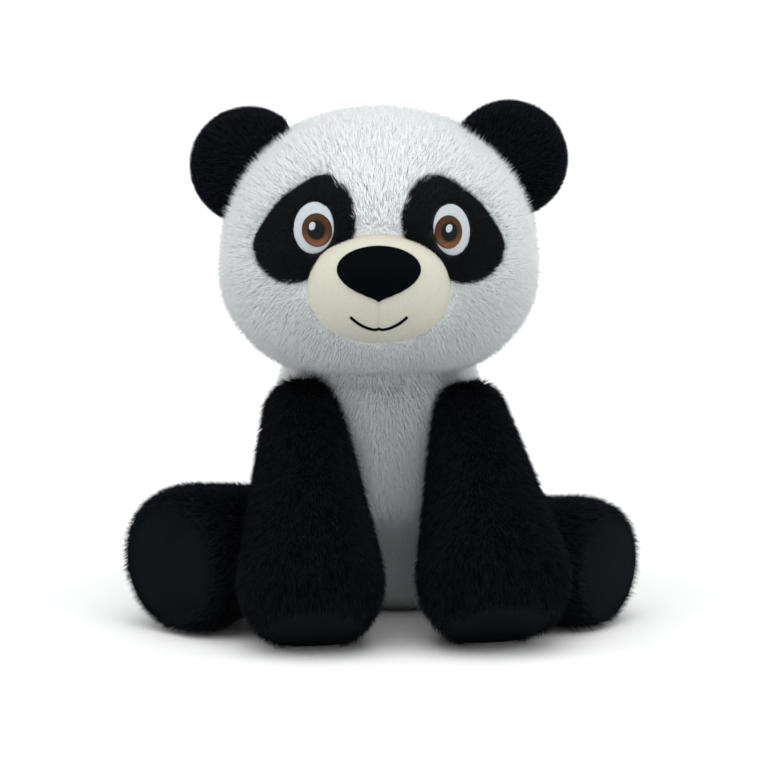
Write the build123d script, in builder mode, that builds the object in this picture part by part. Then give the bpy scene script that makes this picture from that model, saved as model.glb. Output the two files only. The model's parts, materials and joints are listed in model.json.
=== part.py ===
"""Plush panda that sits on its seat: sewn fabric panels over separate stuffing, with limbs that flex.

Millimetres. +Z is up, the face looks along -Y, and +X is the panda's own left.
The origin is the middle of the flat seat, on the surface that the toy sits on.
"""
import math
import os

from build123d import *

os.makedirs("parts", exist_ok=True)

# Cloth and clearances
fabric = 2.0          # thickness of a sewn panel with its backing
clearance = 0.5       # free space between two parts that move against each other
layer_lift = 0.15     # glue and thread under a surface layer
cut_span = 500.0      # side of a cutting block, wider than the toy

# Torso, a round pear that stands on its flat seat: outline points are (radius, height)
torso_axis_y = 5.0
seat_radius = 30.0
torso_low = (47.5, 18)
torso_waist = (52, 42)
torso_high = (49, 82)
torso_top_radius = 34.0
torso_height = 107.0
back_seam_y = -10.0
seat_seam_z = 9.0

# Neck and head
neck_pivot = (0, -6, 114)
neck_radius = 28.0
head_centre = (0, -12, 172.5)
head_half_width = 68.0
head_radius = 62.0
head_floor_z = 118.5
side_seam_y = 0.0
gusset_half_width = 24.0
muzzle_centre = (0, -64, 161.5)
muzzle_half_width = 32.5
muzzle_radius = 24.5

# Eyes, on each side of the muzzle: places are (across, up) on the face
patch_outline = [(24, 211.5), (12.5, 201), (13, 184), (31, 168), (54, 172), (52, 190), (38.5, 205)]
eye_place = (30.3, 188.5)
eye_lean = 11.0
white_size = (8.9, 11.9)
iris_place = (29.0, 187.6)
iris_size = (6.3, 7.6)
pupil_place = (29.2, 188.2)
pupil_size = (3.5, 4.1)
glint_place = (30.1, 188.9)
glint_size = (1.5, 1.8)
patch_thickness = 1.2
white_thickness = 1.4
iris_thickness = 1.6
pupil_thickness = 1.8
glint_thickness = 2.0

# Nose and mouth, on the muzzle: places are (across, up)
nose_top_z = 182.0
nose_wide_z = 172.5
nose_tip_z = 158.5
nose_half_width = 18.2
nose_cheek = (10.9, 162.5)
nose_thickness = 1.6
mouth_corner = (12.0, 151.0)
mouth_bend = (6.6, 146.3)
mouth_middle_z = 145.5
mouth_top_z = 157.5
chin_z = 139.0
thread_width = 1.3
thread_height = 0.8

# Ears
ear_rise = {"right": 212.5, "left": 215.5}
ear_reach = 61.5
ear_radius = 25.5
ear_half_thickness = 7.0
ear_root_radius = 6.5
ear_root_length = 34.0
ear_lift = 3.5
ear_slope = 34.0

# Arms, each from a round root at the shoulder to a flat paw pad
shoulder = (38, -32, 94)
arm_root_radius = 18.0
paw_radius = 31.0
arm_pad_reach = 22.0
arm_length = {"right": 80.0, "left": 78.0}
arm_forward = {"right": 35.0, "left": 32.0}
arm_outward = {"right": 0.0, "left": 8.0}

# Legs, each from a round root at the hip to a flat sole
hip = (51, 0, 31)
leg_root_radius = 24.0
foot_radius = 31.5
sole_reach = 14.0
leg_length = 49.0
leg_turn = {"right": 46.0, "left": 58.0}

# Tail, pellets and label
tail_root = (0, 56, 28)
tail_root_radius = 7.0
tail_tip_radius = 12.0
tail_length = 16.0
tail_rise = 20.0
tail_end_reach = 11.8
tail_hollow_radius = 10.5
pouch_centre = (0, 4, 17)
pouch_size = (9, 22)
pouch_cloth = 1.0
label_size = (16, 30, 0.8)
label_corner = (-8, 38, 0.4)
label_rounding = 2.0

sides = {"right": -1, "left": 1}


def ball(frame, half_width, radius):
    """Closed body of revolution about the frame's X direction, from a half ellipse."""
    with BuildPart() as body:
        with BuildSketch(frame):
            Ellipse(half_width, radius)
            Rectangle(2 * half_width, radius, align=(Align.CENTER, Align.MIN), mode=Mode.INTERSECT)
        revolve(axis=Axis(frame.origin, frame.x_dir))
    return body.part


def round_cushion(frame, half_thickness, radius):
    """Flat disc with a round rim, turned about the frame's X direction."""
    left, right = (-half_thickness, radius - half_thickness), (half_thickness, radius - half_thickness)
    with BuildPart() as body:
        with BuildSketch(frame):
            with BuildLine():
                ThreePointArc(left, (0, radius), right)
                Polyline(right, (half_thickness, 0), (-half_thickness, 0), left)
            make_face()
        revolve(axis=Axis(frame.origin, frame.x_dir))
    return body.part


def across_at(centre):
    """Plane at a point of the face, with X across the face and Z forward."""
    return Plane(origin=centre, x_dir=(1, 0, 0), z_dir=(0, -1, 0))


def pear(inset):
    """Torso body: two arcs from the flat seat to the neck, turned about an upright line."""
    low, waist, high = [(radius - inset, height) for radius, height in (torso_low, torso_waist, torso_high)]
    seat = (seat_radius, inset)
    top = (torso_top_radius, torso_height - inset)
    with BuildPart() as body:
        with BuildSketch(across_at((0, torso_axis_y, 0))):
            with BuildLine():
                ThreePointArc(seat, low, waist)
                ThreePointArc(waist, high, top)
                Polyline(top, (0, torso_height - inset), (0, inset), seat)
            make_face()
        revolve(axis=Axis((0, torso_axis_y, 0), (0, 0, 1)))
    return body.part


def limb_outline(root, tip, length, flat):
    """Half outline of a limb above its long axis: round root, straight flare, round tip, flat end."""
    flare = math.asin((tip - root) / length)
    crown = math.pi / 4 - flare / 2
    rim_height = math.sqrt(tip**2 - flat**2)
    tip_turn = (math.pi / 2 + flare + math.atan2(rim_height, flat)) / 2
    with BuildSketch() as half:
        with BuildLine():
            root_side = (-root * math.sin(flare), root * math.cos(flare))
            tip_side = (length - tip * math.sin(flare), tip * math.cos(flare))
            tip_crown = (length + tip * math.cos(tip_turn), tip * math.sin(tip_turn))
            ThreePointArc((-root, 0), (-root * math.cos(crown), root * math.sin(crown)), root_side)
            Line(root_side, tip_side)
            ThreePointArc(tip_side, tip_crown, (length + flat, rim_height))
            Polyline((length + flat, rim_height), (length + flat, 0), (-root, 0))
        make_face()
    return half.sketch


def limb(frame, size, grow=0):
    """Limb turned about the frame's X direction. size is (root radius, tip radius, length, flat)."""
    root, tip, length, flat = size
    with BuildPart() as body:
        with BuildSketch(frame):
            add(limb_outline(root + grow, tip + grow, length, flat + grow))
        revolve(axis=Axis(frame.origin, frame.x_dir))
    return body.part


def arm_frame(side):
    """Shoulder plane: X along the arm, Z along the axis that lifts it."""
    sign = sides[side]
    forward = math.radians(arm_forward[side])
    outward = math.radians(arm_outward[side])
    across = sign * math.sin(outward)
    along = (across, -math.sin(forward) * math.cos(outward), -math.cos(forward) * math.cos(outward))
    lift = (-math.cos(outward), -across * math.sin(forward), -across * math.cos(forward))
    return Plane(origin=(sign * shoulder[0], shoulder[1], shoulder[2]), x_dir=along, z_dir=lift)


def arm_size(side):
    return (arm_root_radius, paw_radius, arm_length[side], arm_pad_reach)


def leg_frame(side):
    """Hip plane: X along the leg, Z along the axis that spreads it outward."""
    sign = sides[side]
    turn = math.radians(leg_turn[side])
    along = (sign * math.sin(turn), -math.cos(turn), 0)
    return Plane(origin=(sign * hip[0], hip[1], hip[2]), x_dir=along, z_dir=(0, 0, sign))


leg_size = (leg_root_radius, foot_radius, leg_length, sole_reach)
tail_along = (0, math.cos(math.radians(tail_rise)), math.sin(math.radians(tail_rise)))
tail_up = (0, -math.sin(math.radians(tail_rise)), math.cos(math.radians(tail_rise)))
tail_frame = Plane(origin=tail_root, x_dir=tail_along, z_dir=tail_up)
tail_size = (tail_root_radius, tail_tip_radius, tail_length, tail_end_reach)


def below(height):
    """Everything below a level."""
    with BuildPart() as space:
        with Locations((0, 0, height)):
            Box(cut_span, cut_span, cut_span, align=(Align.CENTER, Align.CENTER, Align.MAX))
    return space.part


def piece_of(body, *cuts):
    """Part of a body on the upper side of each cutting plane."""
    with BuildPart() as piece:
        add(body)
        for cut in cuts:
            split(bisect_by=cut, keep=Keep.TOP)
    return piece.part


def finish(body, name):
    """Name a finished piece and write it."""
    body.label = name
    export_step(body, f"parts/{name}.step")


def left_of(x=0.0):
    return Plane(origin=(x, 0, 0), z_dir=(1, 0, 0))


def right_of(x=0.0):
    return Plane(origin=(x, 0, 0), z_dir=(-1, 0, 0))


def behind(y):
    return Plane(origin=(0, y, 0), z_dir=(0, 1, 0))


def before(y):
    return Plane(origin=(0, y, 0), z_dir=(0, -1, 0))


def above(z):
    return Plane(origin=(0, 0, z), z_dir=(0, 0, 1))


# ---- Torso: four sewn panels over one filling, with a pouch of pellets low down ----
def torso_body(inset):
    """Torso with the hollows that its limbs, tail and neck press into it."""
    space = clearance + inset
    with BuildPart() as body:
        add(pear(inset))
        for side in sides:
            add(limb(arm_frame(side), arm_size(side), space), mode=Mode.SUBTRACT)
            add(limb(leg_frame(side), leg_size, space), mode=Mode.SUBTRACT)
        with Locations(tail_root):
            Sphere(tail_hollow_radius + inset, mode=Mode.SUBTRACT)
        with Locations(neck_pivot):
            Sphere(neck_radius + space, mode=Mode.SUBTRACT)
    return body.part


with BuildPart() as torso_cover:
    add(torso_body(0))
    torso_core = torso_body(fabric)
    add(torso_core, mode=Mode.SUBTRACT)

torso_panels = {
    "tummy_panel": (before(back_seam_y), above(seat_seam_z)),
    "back_panel_left": (behind(back_seam_y), left_of(), above(seat_seam_z)),
    "back_panel_right": (behind(back_seam_y), right_of(), above(seat_seam_z)),
    "seat_panel": (Plane(origin=(0, 0, seat_seam_z), z_dir=(0, 0, -1)),),
}
for name, cuts in torso_panels.items():
    finish(piece_of(torso_cover.part, *cuts), name)


def pouch(inset):
    """Flat round bag."""
    upright = Plane(origin=pouch_centre, x_dir=(0, 0, 1), z_dir=(0, -1, 0))
    return round_cushion(upright, pouch_size[0] - inset, pouch_size[1] - inset)


with BuildPart() as pellet_pouch:
    add(pouch(0))
    add(pouch(pouch_cloth), mode=Mode.SUBTRACT)
finish(pellet_pouch.part, "pellet_pouch")
finish(pouch(pouch_cloth), "pouch_pellets")

with BuildPart() as torso_filling:
    add(torso_core)
    add(pouch(0), mode=Mode.SUBTRACT)
finish(torso_filling.part, "torso_filling")

# ---- Neck: a ball of stuffing that the head turns and nods on ----
with BuildPart() as neck_filling:
    with Locations(neck_pivot):
        Sphere(neck_radius)
finish(neck_filling.part, "neck_filling")


# ---- Ears: two panels over a thin wadding, hinged where they are sewn to the head ----
def ear_frame(side):
    """Ear root plane on the head: X outward along the ear, Z along the axis that folds it forward."""
    sign = sides[side]
    slope = math.radians(ear_slope)
    along = Vector(sign * math.cos(slope), 0, math.sin(slope))
    centre = Vector(sign * ear_reach, side_seam_y, ear_rise[side])
    rise = math.hypot(along.X / head_half_width, along.Z / head_radius)
    depth = math.sqrt(1 - ((side_seam_y - head_centre[1]) / head_radius) ** 2)
    middle = Vector(head_centre[0], side_seam_y, head_centre[2])
    root = middle + along * (depth / rise)
    fold = Vector(along.Z, 0, -along.X)
    return Plane(origin=root, x_dir=along, z_dir=fold), centre


def ear_body(side, inset):
    """Round lens above the head, with a round root bar along its hinge."""
    frame, centre = ear_frame(side)
    through = Plane(origin=centre, x_dir=(0, 1, 0), z_dir=(1, 0, 0))
    with BuildPart() as body:
        add(round_cushion(through, ear_half_thickness - inset, ear_radius - inset))
        base = frame.origin + frame.x_dir * ear_lift
        split(bisect_by=Plane(origin=base, z_dir=frame.x_dir), keep=Keep.TOP)
        with Locations(frame):
            Cylinder(ear_root_radius - inset, ear_root_length - 2 * inset)
    return body.part


def ear_socket(side, grow):
    """Hollow in the head for the ear's root bar."""
    frame, _ = ear_frame(side)
    with BuildPart() as space:
        with Locations(frame):
            Cylinder(ear_root_radius + grow, ear_root_length + 2 * grow)
    return space.part


for side in sides:
    core = ear_body(side, fabric)
    with BuildPart() as ear_cover:
        add(ear_body(side, 0))
        add(core, mode=Mode.SUBTRACT)
    finish(piece_of(ear_cover.part, before(side_seam_y)), f"ear_front_{side}")
    finish(piece_of(ear_cover.part, behind(side_seam_y)), f"ear_back_{side}")
    finish(core, f"ear_wadding_{side}")


# ---- Head: a gusset between two face panels, two back panels, and a filling ----
def head_body(inset):
    """Head flattened where it meets the neck, hollowed for the neck ball and the ear roots."""
    space = clearance + inset
    with BuildPart() as body:
        add(ball(across_at(head_centre), head_half_width - inset, head_radius - inset))
        split(bisect_by=above(head_floor_z + inset), keep=Keep.TOP)
        with Locations(neck_pivot):
            Sphere(neck_radius + space, mode=Mode.SUBTRACT)
        for side in sides:
            add(ear_socket(side, space), mode=Mode.SUBTRACT)
    return body.part


head_core = head_body(fabric)
with BuildPart() as head_cover:
    add(head_body(0))
    add(head_core, mode=Mode.SUBTRACT)
finish(head_core, "head_filling")

muzzle_place = across_at(muzzle_centre)
muzzle_shape = ball(muzzle_place, muzzle_half_width, muzzle_radius)
muzzle_inside = ball(muzzle_place, muzzle_half_width - fabric, muzzle_radius - fabric)
head_shape = ball(across_at(head_centre), head_half_width, head_radius)

gusset_floor = above(muzzle_centre[2])
face_panels = {
    "forehead_gusset": (before(side_seam_y), gusset_floor, left_of(-gusset_half_width), right_of(gusset_half_width)),
    "head_back_left": (behind(side_seam_y), left_of()),
    "head_back_right": (behind(side_seam_y), right_of()),
}
for name, cuts in face_panels.items():
    finish(piece_of(head_cover.part, *cuts), name)
for side, half in (("left", left_of()), ("right", right_of())):
    with BuildPart() as face_panel:
        add(piece_of(head_cover.part, before(side_seam_y), half))
        add(piece_of(head_cover.part, *face_panels["forehead_gusset"]), mode=Mode.SUBTRACT)
    finish(face_panel.part, f"face_panel_{side}")

with BuildPart() as muzzle_cover:
    add(muzzle_shape)
    add(muzzle_inside, mode=Mode.SUBTRACT)
    add(head_shape, mode=Mode.SUBTRACT)
finish(muzzle_cover.part, "muzzle_cover")

with BuildPart() as muzzle_filling:
    add(muzzle_inside)
    add(head_shape, mode=Mode.SUBTRACT)
finish(muzzle_filling.part, "muzzle_filling")

# ---- Face trim: thin layers that follow the head and the muzzle ----


def layer(outline, centre, half_width, radius, thickness):
    """Thin layer on a round body, where an outline seen from the front falls on it."""
    inner = layer_lift
    outer = layer_lift + thickness
    with BuildPart() as skin:
        with BuildSketch(across_at((0, 0, 0))):
            add(outline)
        extrude(amount=-centre[1] + 2 * radius)
        add(ball(across_at(centre), half_width + outer, radius + outer), mode=Mode.INTERSECT)
        add(ball(across_at(centre), half_width + inner, radius + inner), mode=Mode.SUBTRACT)
        split(bisect_by=before(centre[1]), keep=Keep.TOP)
    return skin.part


def head_layer(outline, thickness):
    with BuildPart() as skin:
        add(layer(outline, head_centre, head_half_width, head_radius, thickness))
        add(ball(muzzle_place, muzzle_half_width + layer_lift, muzzle_radius + layer_lift), mode=Mode.SUBTRACT)
    return skin.part


def oval(place, size, sign, lean=0.0):
    """Oval on the face plane; a positive lean turns its top towards the middle of the face."""
    with BuildSketch() as shape:
        with Locations(Location((sign * place[0], place[1], 0), (0, 0, sign * lean))):
            Ellipse(*size)
    return shape.sketch


def without(outer, inner):
    """One outline with another cut out of it."""
    with BuildSketch() as ring:
        add(outer)
        add(inner, mode=Mode.SUBTRACT)
    return ring.sketch


for side, sign in sides.items():
    with BuildSketch() as patch:
        with BuildLine():
            Spline(*[(sign * across, up) for across, up in patch_outline], periodic=True)
        make_face()
    white = oval(eye_place, white_size, sign, eye_lean)
    iris = oval(iris_place, iris_size, sign)
    pupil = oval(pupil_place, pupil_size, sign)
    glint = oval(glint_place, glint_size, sign)
    finish(head_layer(without(patch.sketch, white), patch_thickness), f"eye_patch_{side}")
    finish(head_layer(without(white, iris), white_thickness), f"eye_white_{side}")
    finish(head_layer(without(iris, pupil), iris_thickness), f"eye_iris_{side}")
    finish(head_layer(without(pupil, glint), pupil_thickness), f"eye_pupil_{side}")
    finish(head_layer(glint, glint_thickness), f"eye_glint_{side}")

with BuildSketch() as nose_shape:
    with BuildLine():
        ThreePointArc((-nose_half_width, nose_wide_z), (0, nose_top_z), (nose_half_width, nose_wide_z))
        Spline((nose_half_width, nose_wide_z), nose_cheek, (0, nose_tip_z))
        Spline((0, nose_tip_z), (-nose_cheek[0], nose_cheek[1]), (-nose_half_width, nose_wide_z))
    make_face()
muzzle_size = (muzzle_centre, muzzle_half_width, muzzle_radius)
finish(layer(nose_shape.sketch, *muzzle_size, nose_thickness), "nose")

corner_x, corner_z = mouth_corner
bend_x, bend_z = mouth_bend
with BuildSketch() as mouth_shape:
    with BuildLine():
        for sign in (-1, 1):
            ThreePointArc((0, mouth_middle_z), (sign * bend_x, bend_z), (sign * corner_x, corner_z))
        Line((0, mouth_middle_z), (0, mouth_top_z))
        Line((0, mouth_middle_z), (0, chin_z))
    trace(line_width=thread_width)
finish(layer(mouth_shape.sketch, *muzzle_size, thread_height), "mouth_stitching")


# ---- Arms and legs: two covers, an end pad and a filling each ----
def build_limb(frame, size, names, seam):
    """Cut a limb into two covers on the sides of its seam plane, an end pad and a filling."""
    root, tip, length, flat = size
    with BuildPart() as core:
        add(limb(frame, size, -fabric))
        add(below(fabric), mode=Mode.SUBTRACT)
    with BuildPart() as cover:
        add(limb(frame, size))
        add(below(0), mode=Mode.SUBTRACT)
        add(core.part, mode=Mode.SUBTRACT)
    pad_line = frame.origin + frame.x_dir * (length + flat - fabric)
    pad_side = Plane(origin=pad_line, z_dir=frame.x_dir)
    limb_side = Plane(origin=pad_line, z_dir=frame.x_dir * -1)
    upper, lower, pad, filling = names
    finish(piece_of(cover.part, limb_side, Plane(origin=frame.origin, z_dir=seam)), upper)
    finish(piece_of(cover.part, limb_side, Plane(origin=frame.origin, z_dir=seam * -1)), lower)
    finish(piece_of(cover.part, pad_side), pad)
    finish(core.part, filling)


for side in sides:
    arm = arm_frame(side)
    arm_names = (f"arm_front_{side}", f"arm_back_{side}", f"paw_pad_{side}", f"arm_filling_{side}")
    build_limb(arm, arm_size(side), arm_names, arm.z_dir.cross(arm.x_dir))
    leg = leg_frame(side)
    leg_names = (f"leg_top_{side}", f"leg_under_{side}", f"foot_sole_{side}", f"leg_filling_{side}")
    build_limb(leg, leg_size, leg_names, Vector(0, 0, 1))

# ---- Tail and care label ----
with BuildPart() as tail_cover:
    add(limb(tail_frame, tail_size))
    add(limb(tail_frame, tail_size, -fabric), mode=Mode.SUBTRACT)
finish(tail_cover.part, "tail_cover")
finish(limb(tail_frame, tail_size, -fabric), "tail_filling")

with BuildPart() as care_label:
    with Locations(label_corner):
        Box(*label_size, align=(Align.MIN, Align.MIN, Align.MIN))
    fillet(care_label.edges().filter_by(Axis.Z).sort_by(Axis.Y)[-2:], radius=label_rounding)
finish(care_label.part, "care_label")
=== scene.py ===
"""Looks of a sitting plush panda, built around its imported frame. Metres; the face looks along -Y."""
import json
import math

import bmesh
import bpy
import numpy as np
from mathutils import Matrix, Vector
from mathutils.bvhtree import BVHTree


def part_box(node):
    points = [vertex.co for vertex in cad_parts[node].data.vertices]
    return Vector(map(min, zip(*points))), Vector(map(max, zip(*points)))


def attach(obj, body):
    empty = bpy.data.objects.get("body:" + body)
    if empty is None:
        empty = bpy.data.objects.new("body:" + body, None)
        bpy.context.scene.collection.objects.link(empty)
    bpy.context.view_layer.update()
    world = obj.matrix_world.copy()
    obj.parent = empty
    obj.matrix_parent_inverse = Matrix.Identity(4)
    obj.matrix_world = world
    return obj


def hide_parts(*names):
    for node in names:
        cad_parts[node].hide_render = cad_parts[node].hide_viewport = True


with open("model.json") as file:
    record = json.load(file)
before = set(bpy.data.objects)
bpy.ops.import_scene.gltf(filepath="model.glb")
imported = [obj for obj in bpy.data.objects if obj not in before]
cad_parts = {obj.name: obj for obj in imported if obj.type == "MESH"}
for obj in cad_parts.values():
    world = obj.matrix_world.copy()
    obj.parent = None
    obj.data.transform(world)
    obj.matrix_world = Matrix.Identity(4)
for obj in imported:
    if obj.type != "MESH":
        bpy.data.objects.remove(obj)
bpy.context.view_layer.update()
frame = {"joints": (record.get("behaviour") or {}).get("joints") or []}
pivots = {joint["name"]: Vector(joint["pos_m"]) for joint in frame["joints"]}
mm = 0.001


# ---- Studio ----
# A round white dish in a weak even sky, under one high soft sun and a lower one from each side.
# The camera stands in front, a little above the toy's waist.
def feed(tree, socket, value):
    """Set an input to a value, or link it to another node's output."""
    value = getattr(value, "socket", value)
    if isinstance(value, bpy.types.NodeSocket):
        tree.links.new(value, socket)
    else:
        socket.default_value = value


def add_node(tree, kind, settings=None, sockets=None):
    """Node of a kind, given its settings first and then its inputs."""
    node = tree.nodes.new(kind)
    for key, value in (settings or {}).items():
        setattr(node, key, value)
    for key, value in (sockets or {}).items():
        feed(tree, node.inputs[key], value)
    return node


class Value:
    """One number in a material, so that sums of numbers read as plain expressions."""

    def __init__(self, finish, socket):
        self.finish = finish
        self.socket = socket

    def sum(self, operation, first, second):
        node = self.finish.node("ShaderNodeMath", {"operation": operation}, {0: first, 1: second})
        return Value(self.finish, node.outputs[0])

    def __add__(self, other):
        return self.sum("ADD", self, other)

    def __radd__(self, other):
        return self.sum("ADD", other, self)

    def __sub__(self, other):
        return self.sum("SUBTRACT", self, other)

    def __rsub__(self, other):
        return self.sum("SUBTRACT", other, self)

    def __mul__(self, other):
        return self.sum("MULTIPLY", self, other)

    def __rmul__(self, other):
        return self.sum("MULTIPLY", other, self)

    def clamped(self):
        node = self.finish.node("ShaderNodeClamp", {}, {"Value": self})
        return Value(self.finish, node.outputs[0])


class Finish:
    """A material around one Principled shader, with its fixed values set on the shader itself."""

    def __init__(self, name, color, roughness, **fixed):
        self.slot = name
        self.material = bpy.data.materials.new(name)
        self.material.use_nodes = True
        self.tree = self.material.node_tree
        self.shader = self.tree.nodes["Principled BSDF"]
        self.set("Base Color", (*color, 1.0))
        self.set("Roughness", roughness)
        for words, value in fixed.items():
            self.set(words.replace("_", " ").title().replace("Ior", "IOR"), value)
        self.place = self.node("ShaderNodeTexCoord").outputs["Object"]

    def node(self, kind, settings=None, sockets=None):
        return add_node(self.tree, kind, settings, sockets)

    def set(self, name, value):
        feed(self.tree, self.shader.inputs[name], value)

    def attribute(self, name):
        return Value(self, self.node("ShaderNodeAttribute", {"attribute_name": name}).outputs["Fac"])

    def noise(self, scale, detail=3.0, stretch=(1, 1, 1)):
        placed = self.node("ShaderNodeMapping", {}, {"Vector": self.place, "Scale": stretch})
        sockets = {"Vector": placed.outputs[0], "Scale": scale, "Detail": detail}
        return Value(self, self.node("ShaderNodeTexNoise", {}, sockets).outputs["Fac"])

    def mix(self, amount, first, second):
        """Blend of two colours; the first may be another node's output."""
        sockets = {0: amount, 6: (*first, 1.0) if isinstance(first, tuple) else first, 7: (*second, 1.0)}
        return self.node("ShaderNodeMix", {"data_type": "RGBA"}, sockets).outputs[2]

    def bump(self, height, strength, depth):
        sockets = {"Height": height, "Strength": strength, "Distance": depth}
        self.set("Normal", self.node("ShaderNodeBump", {}, sockets).outputs[0])


def add_object(name, data):
    thing = bpy.data.objects.new(name, data)
    bpy.context.scene.collection.objects.link(thing)
    return thing


def mesh_object(name, points, faces, finish, smooth=True):
    mesh = bpy.data.meshes.new(name)
    mesh.from_pydata([tuple(point) for point in points], [], faces)
    mesh.materials.append(finish.material)
    mesh.polygons.foreach_set("use_smooth", [smooth] * len(mesh.polygons))
    mesh.update()
    return add_object(name, mesh)


studio_white = Finish("studio_white", (0.82, 0.82, 0.82), 0.9)
dish_radius, cove, wall_top = 2.6, 0.8, 1.3
dish_steps, cove_steps = 96, 12
sweep = [(dish_radius - cove, 0.0)]
for step in range(1, cove_steps + 1):
    turn = math.pi / 2 * step / cove_steps
    sweep.append((dish_radius - cove + cove * math.sin(turn), cove - cove * math.cos(turn)))
sweep.append((dish_radius, wall_top))
dish_points, dish_faces = [(0, 0, 0)], []
for radius, z in sweep:
    for step in range(dish_steps):
        turn = 2 * math.pi * step / dish_steps
        dish_points.append((radius * math.cos(turn), radius * math.sin(turn), z))
for step in range(dish_steps):
    after = (step + 1) % dish_steps
    dish_faces.append((0, 1 + step, 1 + after))
    for ring in range(len(sweep) - 1):
        a, b = 1 + ring * dish_steps, 1 + (ring + 1) * dish_steps
        dish_faces.append((a + step, b + step, b + after, a + after))
mesh_object("studio_floor", dish_points, dish_faces, studio_white)

world = bpy.data.worlds.new("studio_air")
bpy.context.scene.world = world
world.use_nodes = True
sky = world.node_tree.nodes["Background"].inputs
sky["Color"].default_value = (0.97, 0.99, 1.0, 1.0)
sky["Strength"].default_value = 0.34

bpy.context.scene.view_settings.view_transform = "Standard"

for name, strength, spread, shine in (
    ("high_sun", 2.3, 60, (0.0, 0.36, -1.0)),
    ("left_sun", 1.9, 50, (1.0, 0.36, -0.45)),
    ("right_sun", 1.8, 50, (-1.0, 0.36, -0.45)),
):
    sun = bpy.data.lights.new(name, "SUN")
    sun.energy = strength
    sun.angle = math.radians(spread)
    lamp = add_object(name, sun)
    lamp.rotation_euler = Vector(shine).to_track_quat("-Z", "Y").to_euler()

lens = bpy.data.cameras.new("camera")
lens.sensor_width = 36.0
camera = add_object("camera", lens)
camera_range, camera_rise = 1.6, math.radians(9.4)
view_width = 0.3572
aim = Vector((0.0005, 0, 0.109))
away = Vector((0, -math.cos(camera_rise), math.sin(camera_rise)))
camera.location = aim + away * camera_range
camera.rotation_euler = (-away).to_track_quat("-Z", "Y").to_euler()
lens.lens = lens.sensor_width * camera_range / view_width
bpy.context.scene.camera = camera


# ---- Head ----
# A ball of white plush: a forehead gusset between two face panels, and two back panels, sewn and stuffed.
# The cloth is blown up from inside by a cloth simulation that is held along its seams.
def cloth_object(name, shell):
    """Object made of a bmesh, with nothing but its faces."""
    mesh = bpy.data.meshes.new(name)
    bmesh.ops.recalc_face_normals(shell, faces=shell.faces)
    shell.to_mesh(mesh)
    shell.free()
    mesh.polygons.foreach_set("use_smooth", [True] * len(mesh.polygons))
    return add_object(name, mesh)


def apply_modifiers(thing):
    """Replace an object's mesh by its evaluated mesh, and take its modifiers off."""
    evaluated = thing.evaluated_get(bpy.context.evaluated_depsgraph_get())
    mesh = bpy.data.meshes.new_from_object(evaluated)
    thing.modifiers.clear()
    thing.data = mesh
    mesh.polygons.foreach_set("use_smooth", [True] * len(mesh.polygons))


def rows_of(items, key):
    """One vector of each item of a mesh, as the rows of an array."""
    values = np.zeros(len(items) * 3)
    items.foreach_get(key, values)
    return values.reshape(-1, 3)


def points_of(thing):
    return rows_of(thing.data.vertices, "co")


def normals_of(thing):
    return rows_of(thing.data.vertices, "normal")


def move_points(thing, points):
    thing.data.vertices.foreach_set("co", points.ravel())
    thing.data.update()


def smooth_step(value, low, high):
    share = np.clip((value - low) / (high - low), 0, 1)
    return share * share * (3 - 2 * share)


stuffing_frames = 20


def stuff(cloth, held, most, finer=1):
    """Blow a closed cloth up from inside, held where held is 1, moving no point by more than most."""
    scene = bpy.context.scene
    start = points_of(cloth)
    pins = cloth.vertex_groups.new(name="seams")
    for index, weight in enumerate(held):
        if weight > 0.01:
            pins.add([index], float(weight), "REPLACE")
    modifier = cloth.modifiers.new("stuffing", "CLOTH")
    modifier.settings.vertex_group_mass = "seams"
    modifier.settings.use_pressure = True
    modifier.settings.uniform_pressure_force = 4.0
    modifier.settings.effector_weights.gravity = 0.0
    for number in range(1, stuffing_frames + 1):
        scene.frame_set(number)
    evaluated = cloth.evaluated_get(bpy.context.evaluated_depsgraph_get())
    blown = np.array([vertex.co for vertex in evaluated.data.vertices])
    cloth.modifiers.clear()
    cloth.vertex_groups.clear()
    scene.frame_set(1)
    shift = blown - start
    length = np.linalg.norm(shift, axis=1, keepdims=True)
    shift *= np.minimum(1, most / np.maximum(length, 1e-9))
    move_points(cloth, start + shift)
    modifier = cloth.modifiers.new("finer", "SUBSURF")
    modifier.levels = modifier.render_levels = finer
    apply_modifiers(cloth)


least_pile = 0.08
shade_seed = 7
second_share = 0.3


def new_tree(name, inputs):
    """Geometry Nodes tree with the named inputs given for each kind of socket."""
    tree = bpy.data.node_groups.new(name, "GeometryNodeTree")
    for kind, keys in {"Geometry": ["Geometry"], **inputs}.items():
        for key in keys:
            tree.interface.new_socket(key, in_out="INPUT", socket_type=f"NodeSocket{kind}")
    tree.interface.new_socket("Geometry", in_out="OUTPUT", socket_type="NodeSocketGeometry")
    return tree


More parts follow.
